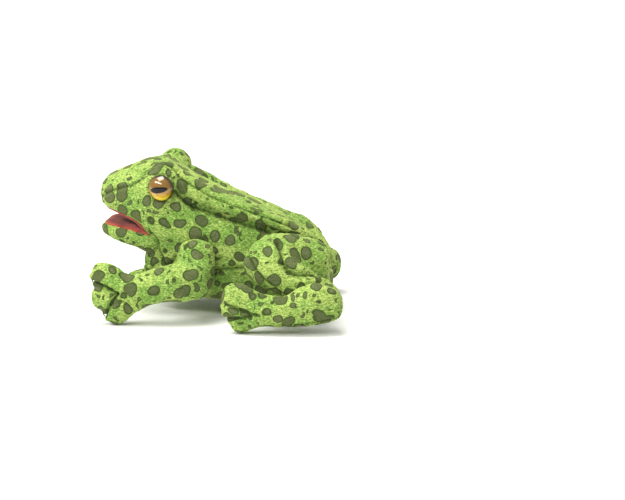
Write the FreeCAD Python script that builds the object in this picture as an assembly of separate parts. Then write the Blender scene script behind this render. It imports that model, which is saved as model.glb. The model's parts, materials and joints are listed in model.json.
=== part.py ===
import FreeCAD
import Part
import math
import os

from FreeCAD import Vector

# A plush frog finger puppet in millimetres. It faces -Y, its left side is +X and +Z is up. The
# origin is at the middle of its footprint, on the surface that the belly, hands and feet rest on.
# Positions written as (y, z) lie in the side view, and x is the distance from the middle plane.

# --- driving dimensions -----------------------------------------------------------------------
skin = 1.4               # thickness of the plush fabric with its backing
lining = 1.0             # thickness of the mouth lining
ease = 0.1               # room between a cover and what lies against it
torso_half = 22.2        # widest part of the torso, from the middle plane
limb_gap = 0.35          # room between limb segments that lie side by side
panel_edge = 14.0        # distance of the back panel's seams from the middle plane
crown_edge = 11.0        # distance of the crown seams from the middle plane
belly_seam = 5.0         # height of the seam between the belly and side panels

neck = (-26.0, 48.0)     # axis that the head nods about
neck_radius = 21.0       # joint surface of the torso around that axis
neck_gap = 0.4
mouth_corner = (-36.0, 40.6)
fold_radius = 2.2        # roll of lining at the mouth corner that the jaw turns on
palate_slope = 28.5      # degrees that the upper lip rises towards the nose
jaw_back_angle = 233.0   # direction of the jaw's rear edge from the mouth corner
throat_angle = 250.0     # direction of the throat's front edge from the mouth corner

finger_radius = 10.0     # inside of the finger sleeve
sleeve_wall = 1.0
sleeve_lean = 15.0       # degrees that the sleeve leans forward from vertical
sleeve_mouth = 24.0      # y of the sleeve's axis at the belly
sleeve_length = 43.0
hem_width = 1.4
hem_height = 2.2

eye_radius = 6.0
eye_height = 4.2         # how far the dome stands out of its socket
mound_radius = 9.6
mound_centre = (16.0, -28.6, 65.0)
eye_direction = Vector(1.0, -0.18, -0.08)

tack_radius = 0.8        # thread tack that a leg or arm swings on
knot_radius = 1.8
running = 0.05           # radial clearance of a tack in the limb
tack_places = {
    "left": {"shoulder": (-12.0, 29.5), "hip": (36.0, 27.0)},
    "right": {"shoulder": (-12.0, 28.5), "hip": (32.0, 27.0)},
}

ridge_half = 5.0
ridge_inset = 4.4        # depth of a ridge's middle below its top

# Torso stations: y, lowest z, highest z, half width. The lowest ones are cut flat at z = 0.
torso_stations = [
    (-41.0, 9.0, 24.0, 9.0),
    (-37.5, 3.0, 36.0, 17.0),
    (-28.0, -0.6, 60.0, 21.0),
    (-14.0, -1.0, 62.5, torso_half),
    (2.0, -1.0, 55.0, torso_half),
    (18.0, -1.0, 48.5, torso_half),
    (31.0, -0.8, 42.0, torso_half),
    (42.0, 1.0, 33.5, 20.6),
    (49.5, 5.5, 25.0, 15.0),
    (52.8, 10.5, 19.5, 7.0),
]
head_stations = [
    (-64.0, 55.0, 63.6, 7.0),
    (-61.5, 51.0, 66.2, 13.5),
    (-54.0, 45.0, 69.8, 18.5),
    (-45.0, 37.0, 73.2, 22.0),
    (-36.0, 28.0, 75.4, 24.2),
    (-27.0, 24.0, 74.0, 24.5),
    (-16.0, 24.0, 67.0, 23.5),
    (-4.0, 24.0, 60.0, 22.5),
]
jaw_stations = [
    (-63.0, 35.9, 40.0, 8.0),
    (-61.0, 35.2, 42.0, 13.5),
    (-54.0, 33.2, 45.0, 18.0),
    (-45.0, 30.6, 50.0, 21.0),
    (-34.0, 27.4, 54.0, 21.8),
]
# Top line of the dorsal ridges: y, z, distance of the ridge's middle from the middle plane
ridge_line = [
    (-9.0, 61.5, 15.6),
    (6.0, 55.0, 16.0),
    (20.0, 49.0, 15.6),
    (32.0, 43.0, 14.4),
    (42.0, 34.5, 12.0),
    (48.0, 26.0, 9.5),
]

# Half the thickness of each limb segment. They lie in three layers beside the torso.
upper_arm_half = 5.0
forearm_half = 4.95
thigh_half = 5.0
shank_half = 4.8
foot_half = 5.2
inner_layer = torso_half + limb_gap + thigh_half
middle_layer = inner_layer + thigh_half + limb_gap + shank_half
forearm_layer = inner_layer + upper_arm_half + limb_gap + forearm_half
outer_layer = middle_layer + shank_half + limb_gap + foot_half
blunt_reach = 9.6        # how far a hand or foot stands past its last station

# Limb stations: y, z, half height in the side view. The two sides lie a little differently: the
# left hand stands on its edge, and the right one lies flat on its palm.
left_arm = {
    "upper_arm": [(-12.4, 31.6, 9.6), (-12.0, 21.5, 9.0)],
    "forearm": [(-11.5, 21.5, 9.2), (-27.0, 18.6, 9.0), (-43.0, 16.2, 9.4), (-54.6, 15.0, 15.0)],
}
right_arm = {
    "upper_arm": [(-12.4, 30.0, 9.6), (-11.5, 19.5, 9.0)],
    "forearm": [(-11.0, 16.0, 9.2), (-27.0, 11.0, 8.0), (-43.0, 6.6, 6.2), (-54.6, 4.6, 4.8)],
}
left_leg = {
    "thigh": [(41.0, 29.5, 12.6), (22.0, 35.0, 10.4)],
    "shank": [(22.0, 34.6, 10.0), (40.5, 24.6, 9.2), (55.6, 14.2, 8.4)],
    "foot": [(55.0, 11.4, 9.0), (33.0, 9.6, 7.8), (12.0, 10.5, 10.6)],
}
right_leg = {
    "thigh": [(34.0, 29.5, 12.6), (16.5, 36.5, 10.4)],
    "shank": [(16.5, 36.5, 10.0), (31.0, 25.0, 9.2), (43.5, 13.5, 8.4)],
    "foot": [(42.5, 11.4, 9.0), (20.5, 9.6, 7.8), (-0.5, 10.5, 10.6)],
}
limb_lines = {"left": {**left_arm, **left_leg}, "right": {**right_arm, **right_leg}}
flat_hand_widths = [4.95, 5.4, 7.8, 13.2]   # half widths of the right forearm, elbow to hand
limb_layers = {
    "upper_arm": (inner_layer, upper_arm_half),
    "forearm": (forearm_layer, forearm_half),
    "thigh": (inner_layer, thigh_half),
    "shank": (middle_layer, shank_half),
    "foot": (outer_layer, foot_half),
}

limb_tacks = {"upper_arm": "shoulder", "thigh": "hip"}
side_sign = {"left": 1.0, "right": -1.0}
far = 200.0              # length of cutting tools, longer than the whole object


# --- basic shapes -----------------------------------------------------------------------------
def smooth_ring(points):
    """A closed smooth wire through the points."""
    curve = Part.BSplineCurve()
    curve.interpolate(points, PeriodicFlag=True)
    return Part.Wire([curve.toShape()])


def power(value, exponent):
    """The value's size raised to the exponent, with the value's sign."""
    return math.copysign(abs(value) ** exponent, value)


def body_ring(y, low, high, half, roundness_low, steps=16):
    """Cross-section of the torso, head or jaw: rounded above and squarer below."""
    middle = low + 0.52 * (high - low)
    points = []
    for step in range(steps):
        angle = 2.0 * math.pi * step / steps
        exponent = 2.0 / (2.2 if math.sin(angle) >= 0 else roundness_low)
        reach = high - middle if math.sin(angle) >= 0 else middle - low
        points.append(Vector(half * power(math.cos(angle), exponent), y,
                             middle + reach * power(math.sin(angle), exponent)))
    return smooth_ring(points)


def body_loft(stations, inset, roundness_low, closed_rear):
    """A closed solid through the stations, drawn in by the inset on every side."""
    rings = []
    last = len(stations) - 1
    for index, (y, low, high, half) in enumerate(stations):
        shift = inset if index == 0 else 0.0
        if index == last and closed_rear:
            shift = -inset
        rings.append(body_ring(y + shift, low + inset, high - inset, half - inset, roundness_low))
    return Part.makeLoft(rings, True, False)


def limb_ring(centre, along, half_high, half_thick, steps=10):
    """An oval across a limb: half_high in the side view and half_thick sideways."""
    across = Vector(1.0, 0.0, 0.0)
    up = along.cross(across)
    up.normalize()
    points = []
    for step in range(steps):
        angle = 2.0 * math.pi * step / steps
        points.append(centre + across * (half_thick * math.cos(angle))
                      + up * (half_high * math.sin(angle)))
    return smooth_ring(points)


def limb_loft(line, x, widths, inset=0.0):
    """A rounded pad along the line of (y, z, half height), drawn in by the inset.

    The widths are half the sideways thickness at each station, about x.
    """
    centres = [Vector(x, y, z) for y, z, _ in line]
    halves = [half - inset for _, _, half in line]
    thick = [width - inset for width in widths]
    first = (centres[1] - centres[0]).normalize()
    final = (centres[-1] - centres[-2]).normalize()
    rings = []
    for reach, part in ((0.97, 0.34), (0.78, 0.7)):
        rings.append((centres[0] - first * (reach * halves[0]), first, part * halves[0],
                      part * thick[0]))
    for index, centre in enumerate(centres):
        before = centres[max(index - 1, 0)]
        after = centres[min(index + 1, len(centres) - 1)]
        rings.append((centre, (after - before).normalize(), halves[index], thick[index]))
    blunt = min(max(line[-1][2], widths[-1]), blunt_reach) - inset
    for reach, part in ((0.78, 0.7), (0.97, 0.34)):
        rings.append((centres[-1] + final * (reach * blunt), final, part * halves[-1],
                      part * thick[-1]))
    return Part.makeLoft([limb_ring(*ring) for ring in rings], True, False)


def cylinder_x(centre, radius, x_low=-far / 2, x_high=far / 2):
    """A cylinder along X about the point (y, z)."""
    return Part.makeCylinder(radius, x_high - x_low, Vector(x_low, centre[0], centre[1]),
                             Vector(1, 0, 0))


def polygon_x(points, x_low=-far / 2, x_high=far / 2):
    """A prism along X over the polygon of (y, z) points."""
    wire = Part.makePolygon([Vector(x_low, y, z) for y, z in points + points[:1]])
    return Part.Face(wire).extrude(Vector(x_high - x_low, 0, 0))


def ray(origin, degrees, length):
    """The point at that direction and distance from the origin, in the side view."""
    turn = math.radians(degrees)
    return (origin[0] + length * math.cos(turn), origin[1] + length * math.sin(turn))


def sector(origin, start, end, radius=far, steps=8):
    """A prism over the sector between two directions, in degrees from +Y towards +Z."""
    rim = [ray(origin, start + (end - start) * step / steps, radius) for step in range(steps + 1)]
    return polygon_x([origin] + rim)


def block(x_low, x_high, y_low, y_high, z_low, z_high):
    """A box between the given limits."""
    return Part.makeBox(x_high - x_low, y_high - y_low, z_high - z_low,
                        Vector(x_low, y_low, z_low))


def above(z):
    """Everything over the height z."""
    return block(-far, far, -far, far, z, far)


def side_block(sign, near, low=-far, high=far):
    """Everything further than near from the middle plane on one side, between two heights."""
    if sign > 0:
        return block(near, far, -far, far, low, high)
    return block(-far, -near, -far, far, low, high)


def biggest(shape):
    """The largest solid of a shape, without the slivers that a cut can leave."""
    return max(shape.Solids, key=lambda solid: solid.Volume)


def axis_frame(direction):
    """Two directions across the given one: level, and the one square to both."""
    level = Vector(0, 0, 1).cross(direction)
    level.normalize()
    return level, direction.cross(level)


# --- torso ------------------------------------------------------------------------------------
def ridge(sign, inset):
    """A stuffed ridge beside the back panel, as a tapering roll."""
    last = len(ridge_line) - 1
    rings = []
    for index, (y, top, x) in enumerate(ridge_line):
        end = index in (0, last)
        half = (ridge_half - inset) * (0.62 if end else 1.0)
        after = ridge_line[min(index + 1, last)]
        before = ridge_line[max(index - 1, 0)]
        along = Vector(0.0, after[0] - before[0], after[1] - before[1])
        along.normalize()
        shift = along * (inset if index == 0 else -inset if index == last else 0.0)
        rings.append(limb_ring(Vector(sign * x, y, top - ridge_inset) + shift, along, half, half))
    return Part.makeLoft(rings, True, False)


def sleeve_direction():
    """Up the finger sleeve, away from its mouth."""
    lean = math.radians(sleeve_lean)
    return Vector(0.0, -math.sin(lean), math.cos(lean))


def sleeve_rod(radius, start, length):
    """A rod on the finger sleeve's axis, from start to start + length along it."""
    up = sleeve_direction()
    return Part.makeCylinder(radius, length, Vector(0, sleeve_mouth, 0) + up * start, up)


def tack(sign, centre, room):
    """A thread tack along X with a knot at each end, grown by room."""
    inner_end = torso_half - 7.0
    outer_end = inner_layer + 1.2
    start = inner_end if sign > 0 else -outer_end
    thread = cylinder_x(centre, tack_radius + room, start, start + outer_end - inner_end)
    knots = []
    for knot in (inner_end, outer_end - 1.0):
        low = knot if sign > 0 else -knot - 1.0
        knots.append(cylinder_x(centre, knot_radius + room, low - room, low + 1.0 + room))
    return thread.fuse(knots).removeSplitter()


def torso_parts():
    """Covers, stuffing, ridges, finger sleeve and thread tacks of the torso."""
    front = sector(neck, 62.0, 242.0)
    joint = cylinder_x(neck, neck_radius)
    outer = body_loft(torso_stations, 0.0, 3.4, True).common(above(0.0)).cut(joint).cut(front)
    inner = body_loft(torso_stations, skin, 3.4, True).common(above(skin))
    filling = body_loft(torso_stations, skin + ease, 3.4, True).common(above(skin + ease))
    grooves = [ridge(sign, -ease) for sign in side_sign.values()]
    hem_rod = sleeve_rod(finger_radius + hem_width, -10.0, 30.0)
    hem_slab = block(-far, far, -far, far, 0.8, 0.8 + hem_height)
    hem = hem_rod.cut(sleeve_rod(finger_radius, -10.0, 30.0)).common(hem_slab)
    hem_room = sleeve_rod(finger_radius + hem_width + ease, -10.0, 30.0)
    sleeve_outer = sleeve_rod(finger_radius + sleeve_wall, 0.0, sleeve_length)
    sleeve = sleeve_outer.common(above(0.8 + hem_height + ease))
    sleeve = sleeve.cut(sleeve_rod(finger_radius, -10.0, sleeve_length + 10.0 - sleeve_wall))
    sleeve_room = sleeve_rod(finger_radius + sleeve_wall + ease, -10.0, sleeve_length + 10.0 + ease)
    tacks = {}
    rooms = []
    for side, sign in side_sign.items():
        for name, centre in tack_places[side].items():
            tacks[f"{name}_tack_{side}"] = tack(sign, centre, 0.0)
            rooms.append(tack(sign, centre, ease))

    cover = outer.cut(inner).cut(grooves + rooms)
    half_ease = ease / 2.0
    parts = {}
    for side, sign in side_sign.items():
        region = side_block(sign, panel_edge + half_ease, belly_seam + half_ease)
        parts[f"side_panel_{side}"] = biggest(cover.common(region))
        parts[f"dorsal_ridge_{side}"] = biggest(ridge(sign, 0.0).cut(ridge(sign, skin)).cut(joint))
        parts[f"ridge_filling_{side}"] = ridge(sign, skin + ease).cut(joint)
    strip = block(half_ease - panel_edge, panel_edge - half_ease, -far, far, belly_seam + half_ease,
                  far)
    parts["back_panel"] = biggest(cover.common(strip))
    belly = block(-far, far, -far, far, -1.0, belly_seam - half_ease)
    parts["belly_panel"] = biggest(cover.common(belly).cut(hem_room))
    body = filling.cut(joint).cut(front).cut(grooves + rooms + [sleeve_room])
    parts["torso_stuffing"] = biggest(body.cut(hem_room.common(hem_slab)))
    parts["finger_sleeve"] = sleeve
    parts["sleeve_hem"] = hem
    parts.update(tacks)
    return parts


# --- head -------------------------------------------------------------------------------------
def mouth_cut(raised):
    """What the open mouth and the jaw take out of the head, with its roof raised."""
    y, z = mouth_corner
    roof_start = (y, z + raised)
    front = ray(roof_start, 180.0 - palate_slope, 60.0)
    return polygon_x([roof_start, front, (front[0], 0.0), ray(mouth_corner, throat_angle, 60.0),
                      mouth_corner])


def eye_parts(side, sign):
    """A safety eye: clear dome, pupil, iris disc, stem and locking washer."""
    out = Vector(sign * eye_direction.x, eye_direction.y, eye_direction.z)
    out.normalize()
    seat = Vector(sign * mound_centre[0], mound_centre[1], mound_centre[2])
    seat += out * (mound_radius - 1.6)
    level, upright = axis_frame(out)
    ball = (eye_radius ** 2 + eye_height ** 2) / (2.0 * eye_height)
    dome = Part.makeSphere(ball, seat + out * (eye_height - ball))
    dome = dome.common(Part.makeCylinder(eye_radius + 1.0, eye_height + 1.0, seat, out))
    corners = [seat - level * 3.6, seat + upright * 1.5, seat + level * 3.6, seat - upright * 1.5]
    upper = Part.Arc(corners[0], corners[1], corners[2]).toShape()
    lower = Part.Arc(corners[2], corners[3], corners[0]).toShape()
    pupil = Part.Face(Part.Wire([upper, lower])).extrude(out * 0.3)
    disc = 0.5
    stem_top = seat - out * (disc + ease)
    iris = Part.makeCylinder(eye_radius - 0.1, disc, seat - out * disc, out)
    plate = Part.makeCylinder(eye_radius - 0.1, 0.8, stem_top - out * 0.8, out)
    stem = plate.fuse(Part.makeCylinder(1.5, 7.0, stem_top - out * 7.0, out)).removeSplitter()
    washer = Part.makeCylinder(5.0, 1.0, stem_top - out * 4.6, out)
    washer = washer.cut(Part.makeCylinder(1.5 + running, 2.0, stem_top - out * 5.0, out))
    room = Part.makeCylinder(eye_radius + ease, 9.0, seat - out * (disc + 0.8 + 2 * ease), out)
    shank = Part.makeCylinder(1.5 + ease, 9.0, stem_top - out * 7.2, out)
    washer_room = Part.makeCylinder(5.0 + ease, 1.0 + 2 * ease, stem_top - out * (4.6 + ease), out)
    parts = {
        f"eye_dome_{side}": dome.cut(pupil),
        f"eye_pupil_{side}": pupil,
        f"eye_iris_{side}": iris,
        f"eye_stem_{side}": stem,
        f"eye_washer_{side}": washer,
    }
    return parts, [room, shank, washer_room]


def head_parts():
    """Crown, cheeks, eye mounds, eyes, upper mouth lining and stuffing of the head."""
    region = cylinder_x(neck, neck_radius - neck_gap).fuse(sector(neck, 80.0, 192.0))
    fold_room = cylinder_x(mouth_corner, fold_radius + neck_gap)
    outer = body_loft(head_stations, 0.0, 2.0, False).common(region).cut(fold_room)
    inner = body_loft(head_stations, skin, 2.0, False)
    filling = body_loft(head_stations, skin + ease, 2.0, False).common(region)
    roof = mouth_cut(0.0)
    lined = mouth_cut(lining)
    parts = {}
    rooms = []
    mounds = []
    for side, sign in side_sign.items():
        centre = Vector(sign * mound_centre[0], mound_centre[1], mound_centre[2])
        ball = Part.makeSphere(mound_radius, centre)
        hollow = Part.makeSphere(mound_radius + ease, centre)
        eyes, eye_rooms = eye_parts(side, sign)
        parts[f"eye_mound_{side}"] = biggest(ball.cut(eye_rooms))
        parts.update(eyes)
        mounds.append(hollow)
        rooms.extend(eye_rooms)
    slab = outer.cut(roof).common(lined.cut(roof))
    parts["upper_mouth_lining"] = biggest(slab.common(sector(mouth_corner, 120.0, 200.0)))
    tops = outer.cut(mouth_cut(lining + ease))
    cover = tops.cut(inner).cut(mounds + rooms)
    half_ease = ease / 2.0
    crown_region = block(half_ease - crown_edge, crown_edge - half_ease, -far, far, 56.0, far)
    parts["crown_panel"] = biggest(cover.common(crown_region))
    for side, sign in side_sign.items():
        lower = side_block(sign, half_ease, -far, 56.0 - half_ease)
        upper = side_block(sign, crown_edge + half_ease, 56.0 - 2 * half_ease)
        parts[f"cheek_panel_{side}"] = biggest(cover.common(lower.fuse(upper)))
    stuffing = filling.cut(mouth_cut(lining + ease)).cut(fold_room)
    parts["head_stuffing"] = biggest(stuffing.cut(mounds + rooms))
    return parts


# --- jaw --------------------------------------------------------------------------------------
def jaw_parts():
    """Chin panel, lower mouth lining and stuffing of the jaw, which turns on the mouth corner."""
    region = sector(mouth_corner, 180.0, jaw_back_angle)
    fold = cylinder_x(mouth_corner, fold_radius, -jaw_stations[-1][3] + 2, jaw_stations[-1][3] - 2)
    outer = body_loft(jaw_stations, 0.0, 2.6, False).common(region)
    inner = body_loft(jaw_stations, skin, 2.6, False)
    filling = body_loft(jaw_stations, skin + ease, 2.6, False).common(region)
    top = mouth_corner[1]
    band = block(-far, far, -far, mouth_corner[0], top - lining, top)
    under = block(-far, far, -far, far, 0.0, top - lining - ease)
    fold_room = cylinder_x(mouth_corner, fold_radius + ease)
    cover = outer.cut(fold_room).common(under)
    chin = biggest(cover.cut(inner))
    return {
        "lower_mouth_lining": biggest(outer.common(band).fuse(fold).removeSplitter()),
        "chin_panel": chin,
        "jaw_stuffing": biggest(filling.common(under).cut(fold_room).cut(chin)),
    }


# --- limbs ------------------------------------------------------------------------------------
def limb_parts(name, side):
    """Cover and filling of a limb segment. The forearm and foot have two cover panels."""
    sign = side_sign[side]
    line = limb_lines[side][name]
    layer, half = limb_layers[name]
    x = sign * layer
    widths = [half] * len(line)
    if name == "forearm" and side == "right":
        widths = flat_hand_widths
    outer = limb_loft(line, x, widths).common(above(0.0))
    inner = limb_loft(line, x, widths, skin).common(above(skin))
    filling = limb_loft(line, x, widths, skin + ease).common(above(skin + ease))
    cover = outer.cut(inner)
    if name in limb_tacks:
        room = tack(sign, tack_places[side][limb_tacks[name]], running)
        cover = cover.cut(room)
        filling = filling.cut(room)
    parts = {f"{name}_filling_{side}": biggest(filling)}
    if name in ("forearm", "foot"):
        away = side_block(sign, layer + ease / 2.0)
        parts[f"{name}_outer_{side}"] = biggest(cover.common(away))
        parts[f"{name}_inner_{side}"] = biggest(cover.cut(side_block(sign, layer - ease / 2.0)))
    else:
        parts[f"{name}_cover_{side}"] = biggest(cover)
    return parts


os.makedirs("parts", exist_ok=True)
model = {}
model.update(torso_parts())
model.update(head_parts())
model.update(jaw_parts())
for limb_side in side_sign:
    for limb_name in limb_layers:
        model.update(limb_parts(limb_name, limb_side))
for node, shape in sorted(model.items()):
    shape.exportStep(f"parts/{node}.step")
    print(f"{node:26s} {len(shape.Solids)} solid(s) {shape.Volume:10.1f} mm3 valid {shape.isValid()}")
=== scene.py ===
import json
import math

import bmesh
import bpy
import numpy as np
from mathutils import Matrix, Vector, noise
from mathutils.bvhtree import BVHTree


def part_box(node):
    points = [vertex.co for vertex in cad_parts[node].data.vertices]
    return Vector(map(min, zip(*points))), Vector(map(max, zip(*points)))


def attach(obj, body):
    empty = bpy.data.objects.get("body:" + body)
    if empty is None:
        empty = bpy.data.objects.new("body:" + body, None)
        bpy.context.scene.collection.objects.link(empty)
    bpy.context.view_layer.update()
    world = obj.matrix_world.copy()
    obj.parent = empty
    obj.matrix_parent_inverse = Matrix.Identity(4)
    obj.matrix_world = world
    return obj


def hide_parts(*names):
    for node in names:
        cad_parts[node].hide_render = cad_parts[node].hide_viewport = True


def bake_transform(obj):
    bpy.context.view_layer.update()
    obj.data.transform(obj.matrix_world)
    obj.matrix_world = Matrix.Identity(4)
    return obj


# The looks of the plush frog finger puppet. Places are written in millimetres in the packed
# frame: the frog faces -Y, its left side is +X, and it rests on z = 0.

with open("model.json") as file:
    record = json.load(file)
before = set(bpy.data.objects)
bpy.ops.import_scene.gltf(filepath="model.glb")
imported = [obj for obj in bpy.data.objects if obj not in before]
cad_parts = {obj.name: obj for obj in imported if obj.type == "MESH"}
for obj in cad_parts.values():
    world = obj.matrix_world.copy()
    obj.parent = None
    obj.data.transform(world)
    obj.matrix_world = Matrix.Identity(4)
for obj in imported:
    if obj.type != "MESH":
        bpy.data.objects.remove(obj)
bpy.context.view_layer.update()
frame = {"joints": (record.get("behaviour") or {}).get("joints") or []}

MM = 0.001
SIDES = {"left": 1.0, "right": -1.0}


def joint_place(name):
    """Where a joint's pivot lies in the side view, as (y, z) in millimetres."""
    place = next(j for j in frame["joints"] if j["name"] == name)["pos_m"]
    return place[1] / MM, place[2] / MM


def node_middle(name):
    """The middle of a CAD node's box, in millimetres."""
    low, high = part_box(name)
    return (Vector(low) + Vector(high)) / (2.0 * MM)


# --- materials ---------------------------------------------------------------------------------
class Shader:
    """A node material under construction."""

    def __init__(self, name):
        self.material = bpy.data.materials.new(name)
        self.material.use_nodes = True
        self.tree = self.material.node_tree
        self.surface = self.tree.nodes["Principled BSDF"]

    def feed(self, socket, value):
        """Links another node's output to the socket, or sets a plain value."""
        if isinstance(value, bpy.types.NodeSocket):
            self.tree.links.new(value, socket)
        else:
            socket.default_value = value

    def node(self, kind, inputs=None, **settings):
        """A new node, with its settings and its inputs' values or links."""
        made = self.tree.nodes.new(kind)
        for key, value in settings.items():
            setattr(made, key, value)
        for key, value in (inputs or {}).items():
            self.feed(made.inputs[key], value)
        return made

    def math(self, operation, first, second=0.0, third=0.0):
        """The result of a Math node."""
        inputs = {0: first, 1: second, 2: third}
        return self.node("ShaderNodeMath", inputs, operation=operation).outputs[0]

    def mix(self, factor, first, second):
        """The result of mixing two colours, which are a Mix node's inputs 6 and 7."""
        inputs = {0: factor, 6: first, 7: second}
        return self.node("ShaderNodeMix", inputs, data_type="RGBA").outputs[2]

    def ramp(self, value, low, high):
        """0 under low and 1 over high, with a smooth step between."""
        inputs = {"Value": value, "From Min": low, "From Max": high}
        made = self.node("ShaderNodeMapRange", inputs, interpolation_type="SMOOTHSTEP")
        return made.outputs["Result"]

    def noise(self, place, scale, detail=2.0, roughness=0.5, distortion=0.0):
        """A noise texture's value."""
        inputs = {"Vector": place, "Scale": scale, "Detail": detail, "Roughness": roughness,
                  "Distortion": distortion}
        return self.node("ShaderNodeTexNoise", inputs).outputs["Fac"]

    def rest_place(self):
        """Where the surface lies at rest, so that a print stays on fabric that bends."""
        return self.node("ShaderNodeAttribute", attribute_name="rest_place").outputs["Vector"]

    def object_place(self):
        """The place in a rigid part's own coordinates."""
        return self.node("ShaderNodeTexCoord").outputs["Object"]

    def set(self, **inputs):
        """Sets or links inputs of the surface shader."""
        for key, value in inputs.items():
            self.feed(self.surface.inputs[key.replace("_", " ")], value)

    def bump(self, height, strength, distance, normal=None):
        """A bump from a height."""
        inputs = {"Height": height, "Strength": strength, "Distance": distance}
        if normal is not None:
            inputs["Normal"] = normal
        return self.node("ShaderNodeBump", inputs).outputs["Normal"]


def rgb(red, green, blue):
    """A colour picked on screen, 0 to 255, as the linear colour that a shader takes."""
    def linear(value):
        value /= 255.0
        return value / 12.92 if value <= 0.04045 else ((value + 0.055) / 1.055) ** 2.4
    return (linear(red), linear(green), linear(blue), 1.0)


BIG_SPOT_SCALE = 130.0               # spots in one metre of cloth
SMALL_SPOT_SCALE = 218.0
SPOT_WARP_SCALE = 130.0
SPOT_WARP = 0.0042                   # metres that a spot's outline strays from round


def spots(shader, place, scale, radius, spread):
    """How deep a place lies inside a print of round spots, as a share of their spacing.

    Also gives a random tone for each spot.
    """
    warp = shader.node("ShaderNodeTexNoise",
                       {"Vector": place, "Scale": SPOT_WARP_SCALE, "Detail": 0.0})
    offset = shader.node("ShaderNodeVectorMath", {0: warp.outputs["Color"], 1: (0.5, 0.5, 0.5)},
                         operation="SUBTRACT").outputs[0]
    bent = shader.node("ShaderNodeVectorMath", {0: offset, 1: (SPOT_WARP,) * 3, 2: place},
                       operation="MULTIPLY_ADD").outputs[0]
    cells = shader.node("ShaderNodeTexVoronoi", {"Vector": bent, "Scale": scale, "Randomness": 0.7,
                                                 "Smoothness": 0.1}, feature="SMOOTH_F1")
    tone = shader.node("ShaderNodeSeparateColor", {"Color": cells.outputs["Color"]}).outputs[0]
    size = shader.math("MULTIPLY_ADD", tone, spread, radius)
    return shader.math("SUBTRACT", size, cells.outputs["Distance"]), tone


def pile_green_with_painted_light(shader, place, raised):
    """Dark green painted as shade between the tufts, patches of two middle greens, and pale tips
    painted as highlights.
    """
    broad = shader.noise(place, 75.0, 3.0)
    middle_green = shader.mix(shader.ramp(broad, 0.36, 0.62), rgb(112, 150, 66), rgb(156, 178, 92))
    # painted shade in the low crinkles, then painted highlight on the raised tips
    green = shader.mix(shader.ramp(raised, 0.38, 0.54), rgb(80, 112, 44), middle_green)
    return shader.mix(shader.ramp(raised, 0.52, 0.68), green, rgb(186, 200, 122))


def printed(shader, place, raised, green):
    """The green with olive spots of two sizes. Each has a darker rim, small ones keep clear, and spots
    get painted shade in the low crinkles.
    """
    big, tone = spots(shader, place, BIG_SPOT_SCALE, 0.375, 0.12)
    small_place = shader.node("ShaderNodeVectorMath", {0: place, 1: (0.037, 0.061, 0.019)},
                              operation="ADD").outputs[0]
    small, _ = spots(shader, small_place, SMALL_SPOT_SCALE, 0.27, 0.17)
    clear = shader.math("MULTIPLY_ADD", big, -SMALL_SPOT_SCALE / BIG_SPOT_SCALE, -0.30)
    depth = shader.math("MAXIMUM", big, shader.math("MINIMUM", small, clear))
    depth = shader.math("MULTIPLY_ADD", raised, 0.10, shader.math("SUBTRACT", depth, 0.05))
    inside = shader.ramp(depth, -0.005, 0.03)
    core = shader.ramp(depth, 0.05, 0.13)
    middle = shader.mix(tone, rgb(100, 108, 72), rgb(84, 94, 58))
    spot = shader.mix(core, rgb(60, 74, 38), middle)
    # painted shade on the spots between the tufts
    spot = shader.mix(shader.ramp(raised, 0.40, 0.60), shader.mix(0.45, spot, rgb(46, 60, 28)), spot)
    return shader.mix(inside, green, spot)


def plush_material():
    """Short-pile green plush with fine crinkles and an olive print, with painted shade in its seam
    grooves and between the tufts and painted highlights on the tuft tips.
    """
    shader = Shader("frog_plush")
    place = shader.rest_place()
    stretched = shader.node("ShaderNodeVectorMath", {0: place, 1: (1.0, 0.62, 1.35)},
                            operation="MULTIPLY").outputs[0]
    crinkle = shader.noise(stretched, 1250.0, 2.0, 0.5, 0.2)
    fibre = shader.noise(place, 3000.0, 1.0, 0.5)
    raised = shader.math("MULTIPLY_ADD", fibre, 0.40, shader.math("MULTIPLY", crinkle, 0.60))
    colour = printed(shader, place, raised, pile_green_with_painted_light(shader, place, raised))
    # painted shade in the seam grooves and under the ridges, read from the seam attribute
    seam_shade = shader.node("ShaderNodeAttribute", attribute_name="seam").outputs["Fac"]
    colour = shader.mix(shader.math("MULTIPLY", seam_shade, 0.75), colour, rgb(40, 62, 18))
    curl = shader.noise(stretched, 420.0, 3.0, 0.6, 0.8)
    first = shader.bump(curl, 0.35, 0.0006)
    shader.set(Base_Color=colour, Roughness=0.95, Sheen_Weight=0.22, Sheen_Roughness=0.5,
               Sheen_Tint=rgb(226, 242, 150), Specular_IOR_Level=0.1,
               Normal=shader.bump(raised, 0.7, 0.0004, first))
    return shader.material


def lining_material(name, light, dark):
    """Thin felted lining with a fine nap."""
    shader = Shader(name)
    place = shader.rest_place()
    cloud = shader.noise(place, 160.0, 3.0)
    fibre = shader.noise(place, 1500.0, 3.0, 0.6)
    colour = shader.mix(shader.ramp(cloud, 0.3, 0.7), dark, light)
    colour = shader.mix(shader.ramp(fibre, 0.35, 0.7), shader.mix(0.35, colour, dark), colour)
    shader.set(Base_Color=colour, Roughness=0.9, Sheen_Weight=0.25, Specular_IOR_Level=0.15,
               Normal=shader.bump(fibre, 0.5, 0.0003))
    return shader.material


def thread_material():
    """Dark green sewing thread, with the twist of its plies."""
    shader = Shader("seam_thread")
    place = shader.object_place()
    twist = shader.node("ShaderNodeTexWave", {"Vector": place, "Scale": 900.0, "Distortion": 1.0},
                        bands_direction="DIAGONAL").outputs["Fac"]
    colour = shader.mix(twist, rgb(38, 62, 20), rgb(62, 92, 32))
    shader.set(Base_Color=colour, Roughness=0.7, Normal=shader.bump(twist, 0.4, 0.0002))
    return shader.material


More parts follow.
